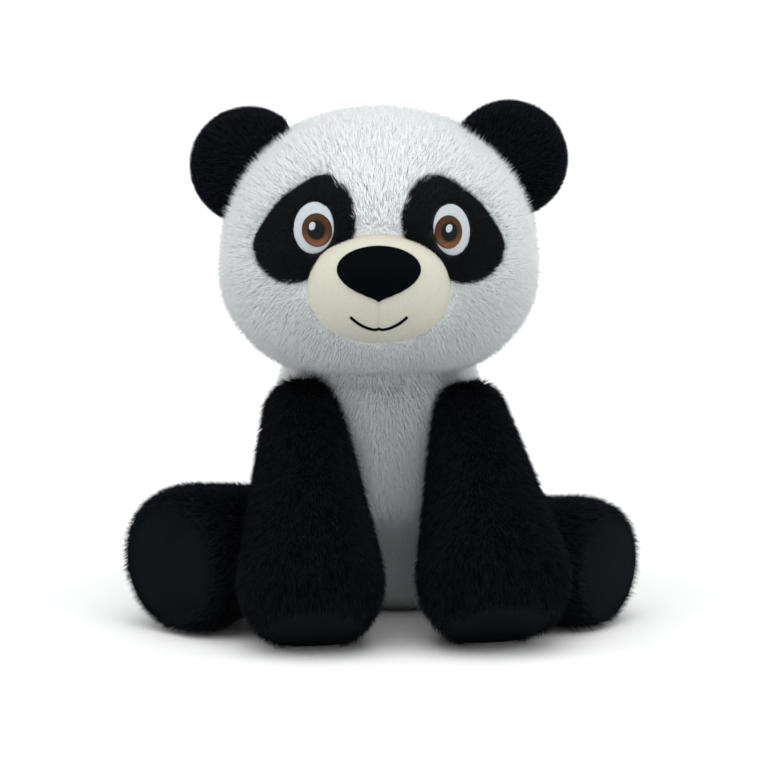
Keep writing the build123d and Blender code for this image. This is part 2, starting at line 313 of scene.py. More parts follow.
def pile_tree():
    """Hairs of a plush pile: thin spikes that lean along the cloth's comb, as long as its pile says."""
    sizes = ("Density", "Length", "Thickness", "Lift", "Stray", "Second Share")
    tree = new_tree("plush_pile", {"Float": sizes, "Int": ["Seed"], "Material": ["Finish", "Second Finish"]})

    def node(kind, settings=None, sockets=None):
        return add_node(tree, kind, settings, sockets)

    def vector_math(operation, first, second, key=1):
        return node("ShaderNodeVectorMath", {"operation": operation}, {0: first, key: second}).outputs[0]

    def number_math(operation, first, second):
        return node("ShaderNodeMath", {"operation": operation}, {0: first, 1: second}).outputs[0]

    def random(low, high, keys, seed, kind="FLOAT"):
        sockets = {keys[0]: low, keys[1]: high, "Seed": seed}
        return node("FunctionNodeRandomValue", {"data_type": kind}, sockets).outputs[0 if keys[0] == 0 else 1]

    def stored(name, kind="FLOAT"):
        return node("GeometryNodeInputNamedAttribute", {"data_type": kind}, {"Name": name}).outputs[0]

    given = node("NodeGroupInput")
    comb = stored("comb", "FLOAT_VECTOR")
    pile = stored("pile")
    here = number_math("MULTIPLY", given.outputs["Density"], number_math("GREATER_THAN", pile, least_pile))
    sockets = {"Mesh": given.outputs["Geometry"], "Density": here, "Seed": given.outputs["Seed"]}
    spread = node("GeometryNodeDistributePointsOnFaces", {"distribute_method": "RANDOM"}, sockets)
    stray = random((-1, -1, -1), (1, 1, 1), (0, 1), given.outputs["Seed"], "FLOAT_VECTOR")
    upward = vector_math("SCALE", spread.outputs["Normal"], given.outputs["Lift"], "Scale")
    stray = vector_math("SCALE", stray, given.outputs["Stray"], "Scale")
    way = vector_math("ADD", vector_math("ADD", upward, comb), stray)
    turned = node("FunctionNodeAlignRotationToVector", {"axis": "Z"}, {"Vector": way}).outputs[0]
    uneven = random(0.7, 1.15, (2, 3), given.outputs["Seed"])
    long = number_math("MULTIPLY", number_math("MULTIPLY", given.outputs["Length"], pile), uneven)
    sockets = {0: given.outputs["Thickness"], 1: given.outputs["Thickness"], 2: long}
    size = node("ShaderNodeCombineXYZ", {}, sockets).outputs[0]
    sockets = {"Vertices": 3, "Side Segments": 1, "Radius Top": 0.0, "Radius Bottom": 1.0, "Depth": 1.0}
    hair = node("GeometryNodeMeshCone", {"fill_type": "NGON"}, sockets).outputs[0]
    sockets = {"Points": spread.outputs["Points"], "Instance": hair, "Rotation": turned, "Scale": size}
    placed = node("GeometryNodeInstanceOnPoints", {}, sockets).outputs[0]
    shade = random(0.0, 1.0, (2, 3), shade_seed)
    sockets = {"Geometry": placed, "Name": "shade", "Value": shade}
    settings = {"data_type": "FLOAT", "domain": "INSTANCE"}
    marked = node("GeometryNodeStoreNamedAttribute", settings, sockets).outputs[0]
    real = node("GeometryNodeRealizeInstances", {}, {"Geometry": marked}).outputs[0]
    sockets = {"Geometry": real, "Material": given.outputs["Finish"]}
    painted = node("GeometryNodeSetMaterial", {}, sockets).outputs[0]
    second = number_math("LESS_THAN", stored("shade"), given.outputs["Second Share"])
    sockets = {"Geometry": painted, "Selection": second, "Material": given.outputs["Second Finish"]}
    painted = node("GeometryNodeSetMaterial", {}, sockets).outputs[0]
    node("NodeGroupOutput", {}, {"Geometry": painted})
    return tree


plush_pile = pile_tree()


def mesh_grown(carrier, tree, inputs, name, body):
    """What a tree makes of a carrier, as one plain mesh that rides on a body; the carrier goes."""
    modifier = carrier.modifiers.new(tree.name, "NODES")
    modifier.node_group = tree
    for item in tree.interface.items_tree:
        if item.item_type == "SOCKET" and item.in_out == "INPUT" and item.name in inputs:
            modifier[item.identifier] = inputs[item.name]
    mesh = bpy.data.meshes.new_from_object(carrier.evaluated_get(bpy.context.evaluated_depsgraph_get()))
    for attribute in ("comb", "pile", "shade"):
        if attribute in mesh.attributes:
            mesh.attributes.remove(mesh.attributes[attribute])
    mesh.polygons.foreach_set("use_smooth", [True] * len(mesh.polygons))
    bpy.data.objects.remove(carrier)
    piece = add_object(name, mesh)
    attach(piece, body)
    return piece


def mark(thing, name, values):
    """Store one number on each point of a piece."""
    thing.data.attributes.new(name, "FLOAT", "POINT").data.foreach_set("value", values)


def comb_cloth(cloth, ways, pile):
    """Store which way the pile lies, and how long it is, on each point of a cloth."""
    normals = normals_of(cloth)
    ways = ways - normals * np.sum(ways * normals, axis=1, keepdims=True)
    ways /= np.maximum(np.linalg.norm(ways, axis=1, keepdims=True), 1e-6)
    comb = cloth.data.attributes.new("comb", "FLOAT_VECTOR", "POINT")
    comb.data.foreach_set("vector", ways.ravel())
    mark(cloth, "pile", pile.ravel())


def grow_pile(cloth, name, body, density, pile_size, finishes, faces=None, lift=0.55, stray=0.3, seed=1):
    """Hairs on a combed cloth, as one mesh on its body, on all of its faces or on some."""
    carrier = cloth.copy()
    carrier.data = cloth.data.copy()
    bpy.context.scene.collection.objects.link(carrier)
    if faces is not None:
        work = bmesh.new()
        work.from_mesh(carrier.data)
        spare = [face for face, kept in zip(list(work.faces), faces) if not kept]
        bmesh.ops.delete(work, geom=spare, context="FACES")
        work.to_mesh(carrier.data)
        work.free()
    length, thickness = pile_size
    inputs = {"Density": density, "Length": length, "Thickness": thickness, "Lift": lift, "Stray": stray}
    inputs.update({"Seed": seed, "Finish": finishes[0].material, "Second Finish": finishes[1].material})
    inputs["Second Share"] = second_share
    return mesh_grown(carrier, plush_pile, inputs, name, body)


white_plush = Finish("white_plush", (0.95, 0.975, 0.985), 0.8, sheen_weight=0.25, sheen_roughness=0.5)
white_shade = Finish("white_plush_shade", (0.91, 0.935, 0.945), 0.8, sheen_weight=0.25, sheen_roughness=0.5)
white_backing = Finish("white_backing", (0.62, 0.645, 0.65), 0.95)
white_backing.bump(white_backing.noise(900.0), 0.4, 0.001)
stuffing = Finish("stuffing", (0.85, 0.85, 0.83), 0.95)
stuffing.bump(stuffing.noise(350.0, 6.0), 0.8, 0.002)
white_pair = (white_plush, white_shade)


def dress(cloth, body, finish, nodes):
    """Give a stuffed cloth its backing and its body, and hide the CAD nodes it stands for."""
    cloth.data.materials.append(finish.material)
    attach(cloth, body)
    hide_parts(*nodes)


cloth_thickness = 2.5 * mm
core_share = 0.3


def fill_cloth(cloth, name, body, node):
    """A core of stuffing just inside a cloth."""
    core = cloth.copy()
    core.data = cloth.data.copy()
    core.name = name
    bpy.context.scene.collection.objects.link(core)
    move_points(core, points_of(core) - normals_of(core) * cloth_thickness)
    for attribute in ("comb", "pile"):
        core.data.attributes.remove(core.data.attributes[attribute])
    core.modifiers.new("coarser", "DECIMATE").ratio = core_share
    apply_modifiers(core)
    core.data.materials.clear()
    core.data.materials.append(stuffing.material)
    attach(core, body)
    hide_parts(node)


face_low, face_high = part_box("face_panel_left")
head_half_width = face_high.x
head_depth = (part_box("head_back_left")[1].y - face_low.y) / 2
head_centre = Vector((0, face_low.y + head_depth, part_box("forehead_gusset")[1].z - head_depth))
head_size = np.array([head_half_width + 1.5 * mm, head_depth, head_depth + 1.0 * mm])
head_squareness, crown_squareness = 2.25, 2.12
gusset_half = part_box("forehead_gusset")[1].x
muzzle_low, muzzle_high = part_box("muzzle_cover")
muzzle_radius = 24.5 * mm
muzzle_centre = Vector((0, head_centre.y - 52 * mm, muzzle_low.z + muzzle_radius + 0.7 * mm))
muzzle_size = np.array([muzzle_high.x + 0.2 * mm, muzzle_radius, muzzle_radius + 1.2 * mm])

shell = bmesh.new()
bmesh.ops.create_icosphere(shell, subdivisions=5, radius=1.0)
head_cloth = cloth_object("head_plush", shell)
ways = points_of(head_cloth)
ways /= np.linalg.norm(ways, axis=1, keepdims=True)
squareness = np.where(ways[:, 2] > 0, crown_squareness, head_squareness)
reach = np.sum(np.abs(ways / head_size) ** squareness[:, None], axis=1) ** (-1 / squareness)
points = np.array(head_centre) + ways * reach[:, None]
cheek_share = np.exp(-(((points[:, 2] - head_centre.z + 22 * mm) / (20 * mm)) ** 2))
points[:, 0] *= 1 + 0.035 * cheek_share
chin_level = face_low.z + 4 * mm
below_chin = np.minimum(points[:, 2] - chin_level, 0)
points[:, 2] -= below_chin * 0.7
move_points(head_cloth, points)


def head_seams(points):
    """Nearness to a seam of the head, from 0 to 1."""
    x, y, z = points.T
    front = y < pivots["ear_fold_left"].y
    above = z > muzzle_centre.z
    side = np.abs(y - pivots["ear_fold_left"].y)
    edge = np.where(front & above, np.abs(np.abs(x) - gusset_half), 1.0)
    middle_line = np.where(~(front & above), np.abs(x), 1.0)
    nearest = np.minimum(side, np.minimum(edge, middle_line))
    return 1 - smooth_step(nearest, 1.0 * mm, 3.5 * mm)


stuff(head_cloth, head_seams(points), 2.0 * mm, finer=0)
head_skin = BVHTree.FromObject(head_cloth, bpy.context.evaluated_depsgraph_get())


def closed_curve(corners, steps=16):
    """Smooth closed line through a few corners."""
    line = []
    for index in range(len(corners)):
        a, b, c, d = (np.array(corners[(index + k - 1) % len(corners)], float) for k in range(4))
        for t in np.arange(steps) / steps:
            bend = (2 * a - 5 * b + 4 * c - d) * t**2 + (3 * b - a - 3 * c + d) * t**3
            line.append(0.5 * (2 * b + (c - a) * t + bend))
    return np.array(line)


patch_corners = [
    (24, 211.5), (12.5, 201), (13, 184), (31, 167), (46, 165.5), (56.5, 178), (48.5, 194.5), (38.5, 204.5)
]
patch_line = closed_curve(patch_corners) * mm
patch_middle = np.array([31.0, 189.0]) * mm


def reach_of(line, middle, angle):
    """How far a closed line lies from its middle at each angle."""
    offset = line - middle
    turns = np.arctan2(offset[:, 1], offset[:, 0])
    order = np.argsort(turns)
    return np.interp(angle, turns[order], np.linalg.norm(offset, axis=1)[order], period=2 * math.pi)


def patch_depth(points):
    """How far inside an eye patch each point of the face lies; negative outside."""
    across = np.abs(points[:, 0]) - patch_middle[0]
    up = points[:, 2] - patch_middle[1]
    inside = reach_of(patch_line, patch_middle, np.arctan2(up, across)) - np.hypot(across, up)
    return np.where(points[:, 1] < head_centre.y, inside, -1.0)


points = points_of(head_cloth)
from_nose = points - np.array([0, muzzle_centre.y - 10 * mm, muzzle_centre.z + 4 * mm])
low = 1 - smooth_step(points[:, 2], head_centre.z - 30 * mm, head_centre.z + 10 * mm)
comb = from_nose / np.linalg.norm(from_nose, axis=1, keepdims=True)
comb += np.outer(low, [0, 0, -0.8])
muzzle_gap = np.linalg.norm((points - np.array(muzzle_centre)) / muzzle_size, axis=1)
bare = (patch_depth(points) > 0.8 * mm) | (muzzle_gap < 1.0)
chin = (points[:, 2] < muzzle_low.z) & (points[:, 1] < head_centre.y)
pile = np.where(bare, 0.0, 1 - np.where(chin, 0.45, 0.06) * head_seams(points))
pile *= 0.5 + 0.5 * smooth_step(muzzle_gap, 1.0, 1.6)
pile *= 0.8 + 0.2 * smooth_step(-patch_depth(points), 0, 12 * mm)
pile *= 1 - 0.4 * smooth_step(-points[:, 2], -face_low.z - 14 * mm, -face_low.z)
comb_cloth(head_cloth, comb, pile)
head_panels = ["forehead_gusset", "face_panel_left", "face_panel_right", "head_back_left", "head_back_right"]
dress(head_cloth, "head", white_backing, head_panels)
fill_cloth(head_cloth, "head_stuffing", "head", "head_filling")

centres = rows_of(head_cloth.data.polygons, "center")
left = centres[:, 0] >= 0
front = centres[:, 1] < head_centre.y + 8 * mm
brow = front & (centres[:, 2] > head_centre.z + 22 * mm)
cheek = front & ~brow
head_shares = {
    "brow_pile_left": brow & left,
    "brow_pile_right": brow & ~left,
    "cheek_pile_left": cheek & left,
    "cheek_pile_right": cheek & ~left,
    "back_of_head_pile_left": ~front & left,
    "back_of_head_pile_right": ~front & ~left,
}
head_density, head_pile = 2.75e6, (7.5 * mm, 0.175 * mm)
for seed, (name, faces) in enumerate(head_shares.items()):
    grow_pile(head_cloth, name, "head", head_density, head_pile, white_pair, faces, seed=seed, stray=0.36)


# ---- Muzzle ----
# A cap of smooth cream velour, sewn to the face with two darts and a seam down its middle, and stuffed.
def skin_outward(point, centre, size, power):
    """Outward direction of a rounded body at a point on it."""
    offset = (point - centre) / size
    slope = np.sign(offset) * np.abs(offset) ** (power - 1) / size
    return slope / np.linalg.norm(slope)


def face_outward(thing):
    """Turn every face of a closed piece outward."""
    work = bmesh.new()
    work.from_mesh(thing.data)
    bmesh.ops.recalc_face_normals(work, faces=work.faces)
    work.to_mesh(thing.data)
    work.free()


cream = Finish("cream_minky", (0.7, 0.68, 0.58), 0.8, sheen_weight=0.2, sheen_roughness=0.4)
nap = cream.noise(700.0, 4.0)
cream_cloth = cream.mix(nap, (0.45, 0.455, 0.375), (0.54, 0.54, 0.455))
# Painted shade: the cream turns brown where the muzzle meets the head, most of all along its top edge.
cream.set("Base Color", cream.mix(cream.attribute("rim") * 0.6, cream_cloth, (0.3, 0.23, 0.15)))
cream.bump(nap, 0.25, 0.0006)

muzzle_segments, muzzle_rings = 180, 72
muzzle_power = 2.15
muzzle_reach = 0.6 * math.pi
muzzle_points = [(0, -muzzle_size[1], 0)]
for ring in range(1, muzzle_rings + 1):
    lean = muzzle_reach * ring / muzzle_rings
    for step in range(muzzle_segments):
        turn = 2 * math.pi * step / muzzle_segments
        way = np.array([math.sin(lean) * math.cos(turn), -math.cos(lean), math.sin(lean) * math.sin(turn)])
        scale = np.sum(np.abs(way / muzzle_size) ** muzzle_power) ** (-1 / muzzle_power)
        muzzle_points.append(tuple(way * scale))
muzzle_points = np.array(muzzle_points)
x, z = muzzle_points[:, 0], muzzle_points[:, 2]
groove = 0.5 * mm * np.exp(-((x / (0.7 * mm)) ** 2)) * (z < -3.5 * mm)
dart_level = -9.5 * mm - 0.06 * np.abs(x)
dart = 0.5 * mm * np.exp(-(((z - dart_level) / (0.8 * mm)) ** 2)) * smooth_step(np.abs(x), 21 * mm, 29 * mm)
inward = muzzle_points / np.linalg.norm(muzzle_points, axis=1, keepdims=True)
muzzle_points = muzzle_points - inward * (groove + dart)[:, None] + np.array(muzzle_centre)
muzzle_faces = [(0, 1 + (step + 1) % muzzle_segments, 1 + step) for step in range(muzzle_segments)]
for ring in range(muzzle_rings - 1):
    inner, outer = 1 + ring * muzzle_segments, 1 + (ring + 1) * muzzle_segments
    for step in range(muzzle_segments):
        after = (step + 1) % muzzle_segments
        muzzle_faces.append((inner + step, inner + after, outer + after, outer + step))
last_ring = 1 + (muzzle_rings - 1) * muzzle_segments
muzzle_faces.append(tuple(last_ring + step for step in range(muzzle_segments)))
muzzle = mesh_object("muzzle", muzzle_points, muzzle_faces, cream)
face_outward(muzzle)
# Painted shade, kept in the rim mark: full where the muzzle meets the head, fading out 7 mm in front of it,
# and four times weaker low down than along the top.
edge = []
for point in muzzle_points:
    place = head_skin.find_nearest(Vector(point))
    outside = (Vector(point) - place[0]).dot(place[1])
    edge.append(1 - min(1.0, max(0.0, outside / (7 * mm))))
upper = smooth_step(muzzle_points[:, 2], muzzle_centre.z - 6 * mm, muzzle_centre.z + 16 * mm)
mark(muzzle, "rim", np.array(edge) ** 2 * (0.25 + 0.75 * upper))
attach(muzzle, "head")
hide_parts("muzzle_cover", "muzzle_filling")
muzzle_skin = BVHTree.FromObject(muzzle, bpy.context.evaluated_depsgraph_get())


# ---- Nose and mouth ----
# The nose is a thick satin-stitched shield on the muzzle; the mouth is one line of black thread.
head_skin_shape = (head_skin, np.array(head_centre), head_size, head_squareness)
muzzle_skin_shape = (muzzle_skin, np.array(muzzle_centre), muzzle_size, muzzle_power)


def on_skin(skin_shape, x, z, lift):
    """Point above a skin where a line from the front meets it."""
    skin, centre, size, squareness = skin_shape
    place = np.array(skin.ray_cast(Vector((x, -0.5, z)), Vector((0, 1, 0)))[0])
    return place + skin_outward(place, centre, size, squareness) * lift


def lens_faces(rings, segments):
    """Faces of a closed lens: two discs of rings about their middles, joined along their rims."""
    half = 1 + rings * segments
    faces = []
    for base in (0, half):
        for step in range(segments):
            after = (step + 1) % segments
            faces.append((base, base + 1 + after, base + 1 + step))
            for ring in range(rings - 1):
                a, b = base + 1 + ring * segments, base + 1 + (ring + 1) * segments
                faces.append((a + step, a + after, b + after, b + step))
    outer = 1 + (rings - 1) * segments
    for step in range(segments):
        after = (step + 1) % segments
        faces.append((outer + step, outer + after, half + outer + after, half + outer + step))
    return faces


def applique(name, skin_shape, line, middle, lifts, finish, rings=14, segments=120, teeth=0.0):
    """Closed thin shape sewn on a skin: its outline from the front, and its lifts at the rim and crown."""
    lift, crown = lifts
    points, rims = [], []
    for sunk in (False, True):
        for ring in range(rings + 1):
            share = ring / rings
            for step in range(segments if ring else 1):
                turn = 2 * math.pi * step / segments
                reach = float(reach_of(line, middle, turn)) * share
                reach += teeth * (step % 2) * share**6
                height = lift + crown * (1 - share**2.4) if ring < rings else lift * 0.4
                height = -1.2 * mm if sunk else height
                x, z = middle[0] + math.cos(turn) * reach, middle[1] + math.sin(turn) * reach
                points.append(on_skin(skin_shape, x, z, height))
                rims.append(share)
    piece = mesh_object(name, points, lens_faces(rings, segments), finish)
    mark(piece, "rim", rims)
    face_outward(piece)
    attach(piece, "head")
    return piece


def thread_finish(name, color, roughness, pitch, turn, depth=0.00025, **fixed):
    """Satin stitch: parallel threads at a pitch, turned on the face."""
    finish = Finish(name, color, roughness, **fixed)
    sockets = {"Vector": finish.place, "Rotation": (0, turn, 0)}
    placed = finish.node("ShaderNodeMapping", {}, sockets).outputs[0]
    sockets = {"Vector": placed, "Scale": math.pi / (10 * pitch), "Distortion": 0.6, "Detail": 1.0}
    rows = Value(finish, finish.node("ShaderNodeTexWave", {"bands_direction": "X"}, sockets).outputs["Fac"])
    finish.bump(rows, 0.5, depth)
    finish.rows = rows
    return finish


nose_black = (0.0007, 0.0014, 0.002)
nose_finish = thread_finish("black_thread", nose_black, 0.6, 0.45 * mm, 0.0, specular_ior_level=0.02)
nose_low, nose_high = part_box("nose")
nose_wide = nose_low.z + 0.58 * (nose_high.z - nose_low.z)
nose_half = nose_high.x + 0.2 * mm
nose_rise = nose_high.z + 0.2 * mm - nose_wide
nose_drop = nose_wide - nose_low.z
turns = np.linspace(0.0, math.pi, 40)
arch = [(nose_half * math.cos(turn), nose_wide + nose_rise * math.sin(turn)) for turn in turns]
taper = [(0.99, 0.1), (0.94, 0.24), (0.82, 0.42), (0.62, 0.6), (0.4, 0.74), (0.2, 0.85), (0.08, 0.92), (0, 1)]
left_side = [(-a * nose_half, nose_wide - b * nose_drop) for a, b in taper]
right_side = [(a * nose_half, nose_wide - b * nose_drop) for a, b in reversed(taper[:-1])]
nose_line = np.array(arch + left_side + right_side)
nose_middle = np.array([0, nose_wide])
nose_lifts = (0.9 * mm, 1.8 * mm)
nose = applique(
    "nose_shield", muzzle_skin_shape, nose_line, nose_middle, nose_lifts, nose_finish, 20, 200, 0.3 * mm
)
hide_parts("nose")


def stitch_tree():
    """Row of short thick stitches along a line, each a small closed spindle."""
    tree = new_tree("stitch_row", {"Float": ("Pitch", "Width", "Height"), "Material": ["Finish"]})

    def node(kind, settings=None, sockets=None):
        return add_node(tree, kind, settings, sockets)

    given = node("NodeGroupInput")
    line = node("GeometryNodeMeshToCurve", {}, {"Mesh": given.outputs["Geometry"]}).outputs[0]
    sockets = {"Curve": line, "Length": given.outputs["Pitch"]}
    spaced = node("GeometryNodeResampleCurve", {"mode": "LENGTH"}, sockets).outputs[0]
    tangent = node("GeometryNodeInputTangent").outputs[0]
    turned = node("FunctionNodeAlignRotationToVector", {"axis": "Z"}, {"Vector": tangent}).outputs[0]
    bead = node("GeometryNodeMeshUVSphere", {}, {"Segments": 8, "Rings": 5, "Radius": 1.0}).outputs[0]
    long = node("ShaderNodeMath", {"operation": "MULTIPLY"}, {0: given.outputs["Pitch"], 1: 0.85}).outputs[0]
    sockets = {0: given.outputs["Width"], 1: given.outputs["Height"], 2: long}
    size = node("ShaderNodeCombineXYZ", {}, sockets).outputs[0]
    sockets = {"Points": spaced, "Instance": bead, "Rotation": turned, "Scale": size}
    placed = node("GeometryNodeInstanceOnPoints", {}, sockets).outputs[0]
    real = node("GeometryNodeRealizeInstances", {}, {"Geometry": placed}).outputs[0]
    sockets = {"Geometry": real, "Material": given.outputs["Finish"]}
    painted = node("GeometryNodeSetMaterial", {}, sockets).outputs[0]
    node("NodeGroupOutput", {}, {"Geometry": painted})
    return tree


stitch_row = stitch_tree()


def thread_line(name, route, pitch, width, height, finish, body="head"):
    """Stitches along a route of points, as one mesh on its body."""
    mesh = bpy.data.meshes.new(name)
    mesh.from_pydata([tuple(point) for point in route], [(k, k + 1) for k in range(len(route) - 1)], [])
    inputs = {"Pitch": pitch, "Width": width, "Height": height, "Finish": finish.material}
    return mesh_grown(add_object(name + "_route", mesh), stitch_row, inputs, name, body)


smile_half, smile_dip = 12.2 * mm, 5.6 * mm
smile_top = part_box("mouth_stitching")[0].z + 12.0 * mm
mouth_route = []
for t in np.linspace(-1, 1, 61):
    bow = 1 - abs(t) ** 2.1
    cusp = 0.55 * mm * math.exp(-((t / 0.07) ** 2))
    height = smile_top - smile_dip * bow + cusp
    mouth_route.append(on_skin(muzzle_skin_shape, smile_half * t, height, 0.25 * mm))
smile = thread_line("smile_stitching", mouth_route, 0.8 * mm, 0.75 * mm, 0.6 * mm, nose_finish)
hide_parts("mouth_stitching")


# ---- Eyes ----
# Each is a patch of short charcoal plush, with an embroidered eye on it:
# white, iris and pupil in satin stitch, and a glint.
charcoal = Finish("grey_velour", (0.0075, 0.009, 0.0125), 0.85, specular_ior_level=0.12)
charcoal_shade = Finish("grey_velour_shade", (0.004, 0.004, 0.0055), 0.85, specular_ior_level=0.15)
patch_backing = Finish("patch_backing", (0.005, 0.005, 0.007), 0.95)
patch_backing.bump(patch_backing.noise(1200.0), 0.4, 0.0005)
white_thread = thread_finish("white_thread", (0.78, 0.82, 0.85), 0.5, 0.42 * mm, 0.9)
# Painted shade: the white thread turns grey in the grooves between its rows of stitches, where the bump is
# low; the glints share this finish.
white_thread.set("Base Color", white_thread.mix(white_thread.rows, (0.27, 0.305, 0.34), (0.66, 0.7, 0.73)))
brown_thread = thread_finish("brown_thread", (0.2, 0.1, 0.05), 0.6, 0.36 * mm, 0.4, specular_ior_level=0.1)
iris_rim = brown_thread.attribute("rim")
amber = brown_thread.mix(brown_thread.attribute("drop"), (0.075, 0.031, 0.013), (0.22, 0.1, 0.042))
ringed = ((iris_rim - 0.84) * 9.0).clamped() * 0.8 + ((0.62 - iris_rim) * 9.0).clamped() * 0.75
fibres = brown_thread.mix(brown_thread.rows * 0.6, (1.0, 1.0, 1.0), (0.55, 0.5, 0.45))
settings = {"data_type": "RGBA", "blend_type": "MULTIPLY"}
fibrous = brown_thread.node("ShaderNodeMix", settings, {0: 1.0, 6: fibres, 7: amber}).outputs[2]
brown_thread.set("Base Color", brown_thread.mix(ringed, fibrous, (0.022, 0.01, 0.005)))
pupil_black = (0.003, 0.006, 0.007)
pupil_thread = thread_finish("black_thread", pupil_black, 0.5, 0.4 * mm, 0.2, specular_ior_level=0.12)


def oval(centre, size, lean):
    """Closed oval line about a centre, leaned on the face."""
    turns = np.linspace(0, 2 * math.pi, 90, endpoint=False)
    x, z = np.cos(turns) * size[0], np.sin(turns) * size[1]
    c, s = math.cos(lean), math.sin(lean)
    return np.stack([centre[0] + x * c - z * s, centre[1] + x * s + z * c], axis=1)


eye_nudge = {"left": (1.7 * mm, -0.7 * mm), "right": (1.6 * mm, 0.3 * mm)}
eye_width = {"left": 0.95, "right": 1.05}
for side, sign in (("left", 1), ("right", -1)):
    mirrored = patch_line * np.array([sign, 1.0])
    middle = patch_middle * np.array([sign, 1.0])
    patch_name = f"eye_patch_plush_{side}"
    patch = applique(patch_name, head_skin_shape, mirrored, middle, (0.9 * mm, 0.6 * mm), patch_backing)
    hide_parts(f"eye_patch_{side}")
    patch_points = points_of(patch)
    outward = patch_points - np.array([middle[0] * 0.7, muzzle_centre.y, middle[1] - 4 * mm])
    white_low, white_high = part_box(f"eye_white_{side}")
    white_middle = (white_low + white_high) / 2
    eye = np.array([white_middle.x, white_middle.z]) + np.array(eye_nudge[side])
    gap = np.hypot((patch_points[:, 0] - eye[0]) / (8.6 * mm), (patch_points[:, 2] - eye[1]) / (11.4 * mm))
    lengths = np.array([point.value for point in patch.data.attributes["rim"].data])
    top = normals_of(patch)[:, 1] < -0.05
    comb_cloth(patch, outward, np.where((gap > 1) & top, 1.0, 0.0) * (1.05 - 0.25 * lengths))
    patch_pile, patch_pair = (3.8 * mm, 0.14 * mm), (charcoal, charcoal_shade)
    grow_pile(patch, f"eye_patch_pile_{side}", "head", 6.5e6, patch_pile, patch_pair, seed=20 + sign)
    lean = math.radians(11.0) * sign
    wide = eye_width[side]
    layers = {
        "white": ((8.9 * wide, 11.9), (0.0, 0.0), lean, (1.7, 0.8), white_thread),
        "iris": ((6.7 * wide, 7.7), (-1.6 * sign, -0.9), lean * 0.4, (2.5, 0.4), brown_thread),
        "pupil": ((3.7 * wide, 4.2), (-1.4 * sign, -0.7), lean * 0.4, (3.1, 0.3), pupil_thread),
        "glint": ((1.4, 1.9), (-0.9 * sign - 0.9, 0.6), -0.35, (3.5, 0.2), white_thread),
    }
    for kind, (size, shift, tilt, lifts, finish) in layers.items():
        size, lifts = np.array(size) * mm, np.array(lifts) * mm
        centre = eye + np.array(shift) * mm
        name = f"eye_{kind}_stitch_{side}"
        line = oval(centre, size, tilt)
        piece = applique(name, head_skin_shape, line, centre, lifts, finish, 10, 90, 0.1 * mm)
        if kind == "iris":
            level = 1 - smooth_step(points_of(piece)[:, 2], centre[1] - size[1], centre[1] + 0.2 * size[1])
            mark(piece, "drop", level)
        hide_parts(f"eye_{kind}_{side}")


# ---- Ears ----
# Two round panels of short black pile over a thin wadding, closed along the rim.
# The open end is gathered into the head seam.
black_plush = Finish("black_plush", (0.0062, 0.0075, 0.0105), 0.8, specular_ior_level=0.12)
black_shade = Finish("black_plush_shade", (0.0011, 0.0016, 0.0025), 0.9, specular_ior_level=0.05)
black_backing = Finish("black_backing", (0.0025, 0.003, 0.004), 0.95, specular_ior_level=0.1)
black_backing.bump(black_backing.noise(900.0), 0.4, 0.001)
black_pair = (black_plush, black_shade)


def even(profile, pitch):
    """The same outline with its points about a pitch apart."""
    profile = np.array(profile, float)
    travelled = np.concatenate([[0], np.cumsum(np.linalg.norm(np.diff(profile, axis=0), axis=1))])
    steps = np.linspace(0, travelled[-1], max(8, int(travelled[-1] / pitch)))
    return np.stack([np.interp(steps, travelled, profile[:, k]) for k in (0, 1)], axis=1)


def ring_cloth(name, origin, along, profile, around=44):
    """Closed cloth of rings about a line; profile is (distance, radius) from one pole to the other."""
    along = Vector(along).normalized()
    side = along.orthogonal().normalized()
    other = along.cross(side)
    turns = [2 * math.pi * step / around for step in range(around)]
    spokes = [side * math.cos(turn) + other * math.sin(turn) for turn in turns]
    shell = bmesh.new()
    rings = []
    for distance, radius in profile:
        centre = Vector(origin) + along * float(distance)
        if radius < 1e-6:
            rings.append([shell.verts.new(centre)] * around)
        else:
            rings.append([shell.verts.new(centre + spoke * float(radius)) for spoke in spokes])
    for lower, upper in zip(rings, rings[1:]):
        for step in range(around):
            after = (step + 1) % around
            loop = [lower[step], lower[after], upper[after], upper[step]]
            loop = [vertex for k, vertex in enumerate(loop) if vertex not in loop[:k]]
            shell.faces.new(loop)
    return cloth_object(name, shell)


ear_radius, ear_half_thickness = 26.2 * mm, 6.2 * mm
ear_rim = ear_half_thickness * 0.6
ear_profile = [(-ear_half_thickness * 0.8, 0.0)]
for turn in np.linspace(0, math.pi, 30):
    ear_profile.append((-math.cos(turn) * ear_half_thickness, ear_radius - ear_rim * (1 - math.sin(turn))))
ear_profile.append((ear_half_thickness, 0.0))
ear_tuck = -9 * mm
for side, sign in (("left", 1), ("right", -1)):
    root = pivots[f"ear_fold_{side}"]
    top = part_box(f"ear_front_{side}")[1].z
    centre = Vector((sign * 59.8 * mm, root.y - 11 * mm, top - 26.8 * mm))
    ear = ring_cloth(f"ear_plush_{side}", centre, (0, 1, 0), even(ear_profile, 3.2 * mm), 56)
    points = points_of(ear)
    out = np.array([centre.x - root.x, 0, centre.z - root.z])
    out /= np.linalg.norm(out)
    reach = (points - np.array(root)) @ out
    points += np.outer(np.where(reach < ear_tuck, (ear_tuck - reach) * 0.9, 0.0), out)
    move_points(ear, points)
    stuff(ear, smooth_step(-np.abs(points[:, 1] - centre.y), -2.5 * mm, -0.5 * mm), 1.5 * mm)
    points = points_of(ear)
    reach = (points - np.array(root)) @ out
    spread = points - np.array(root) + out * 10 * mm
    comb_cloth(ear, spread, np.where(reach > -2 * mm, 1.0, 0.0))
    dress(ear, f"ear_{side}", black_backing, [f"ear_front_{side}", f"ear_back_{side}"])
    fill_cloth(ear, f"ear_stuffing_{side}", f"ear_{side}", f"ear_wadding_{side}")
    ear_pile = (3.6 * mm, 0.165 * mm)
    grow_pile(ear, f"ear_pile_{side}", f"ear_{side}", 4.2e6, ear_pile, black_pair, seed=30 + sign)


